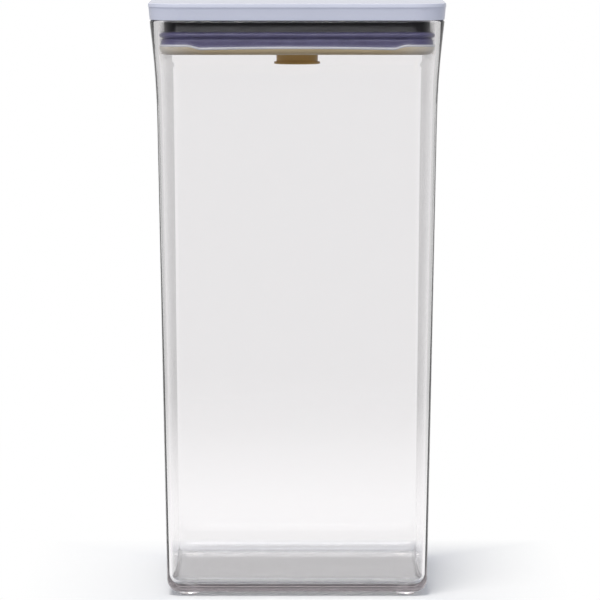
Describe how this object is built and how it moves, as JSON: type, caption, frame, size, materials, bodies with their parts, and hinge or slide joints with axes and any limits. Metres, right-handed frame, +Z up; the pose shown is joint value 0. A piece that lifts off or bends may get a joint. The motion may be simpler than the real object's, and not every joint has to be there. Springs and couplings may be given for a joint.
{
  "type": "food storage container",
  "caption": "Tall square clear canister with a flared rim and feet, and a flat white lid whose round push button works pushers that spread a ribbed gasket to seal the mouth.",
  "frame": {"origin": "on the table, under the middle of the jar", "axes": "+Z up along the jar, -Y towards the front of the picture, X and Y square to the walls"},
  "size_m": [0.16, 0.16, 0.32],
  "materials": {
    "clear_plastic": "clear, polished mould",
    "white_plastic": "satin moulded",
    "inner_plastic": "satin moulded",
    "tray_plastic": "satin moulded",
    "hub_plastic": "satin moulded",
    "silicone": "satin silicone",
    "steel": "drawn wire"
  },
  "bodies": {
    "jar": {"container_body": "clear_plastic"},
    "lid": {"lid_cover": "white_plastic", "gasket_carrier": "inner_plastic", "gasket": "silicone", "lid_base": "tray_plastic", "accessory_hub": "hub_plastic", "hub_seal": "silicone", "button_spring": "steel", "latch_wire": "steel"},
    "button": {"button_cap": "white_plastic", "button_core": "inner_plastic", "cam_pins": "steel"},
    "front_pusher": {"pusher_front": "inner_plastic"},
    "rear_pusher": {"pusher_rear": "inner_plastic"},
    "left_pusher": {"pusher_left": "inner_plastic"},
    "right_pusher": {"pusher_right": "inner_plastic"}
  },
  "joints": [
    {"name": "lid_lift", "type": "slide", "parent": "jar", "child": "lid", "axis": [0, 0, 1], "range_m": [0, 0.1]},
    {"name": "button_pop", "type": "slide", "parent": "lid", "child": "button", "axis": [0, 0, 1], "range_m": [0, 0.011], "deforming": ["button_spring", "latch_wire"]},
    {"name": "front_draw", "type": "slide", "parent": "lid", "child": "front_pusher", "axis": [0, 1, 0], "range_m": [0, 0.002]},
    {"name": "rear_draw", "type": "slide", "parent": "lid", "child": "rear_pusher", "axis": [0, -1, 0], "range_m": [0, 0.002]},
    {"name": "left_draw", "type": "slide", "parent": "lid", "child": "left_pusher", "axis": [1, 0, 0], "range_m": [0, 0.002]},
    {"name": "right_draw", "type": "slide", "parent": "lid", "child": "right_pusher", "axis": [-1, 0, 0], "range_m": [0, 0.002]}
  ],
  "couplings": [
    {"joint": "front_draw", "follows": "button_pop", "ratio": 0.18182},
    {"joint": "rear_draw", "follows": "button_pop", "ratio": 0.18182},
    {"joint": "left_draw", "follows": "button_pop", "ratio": 0.18182},
    {"joint": "right_draw", "follows": "button_pop", "ratio": 0.18182}
  ]
}
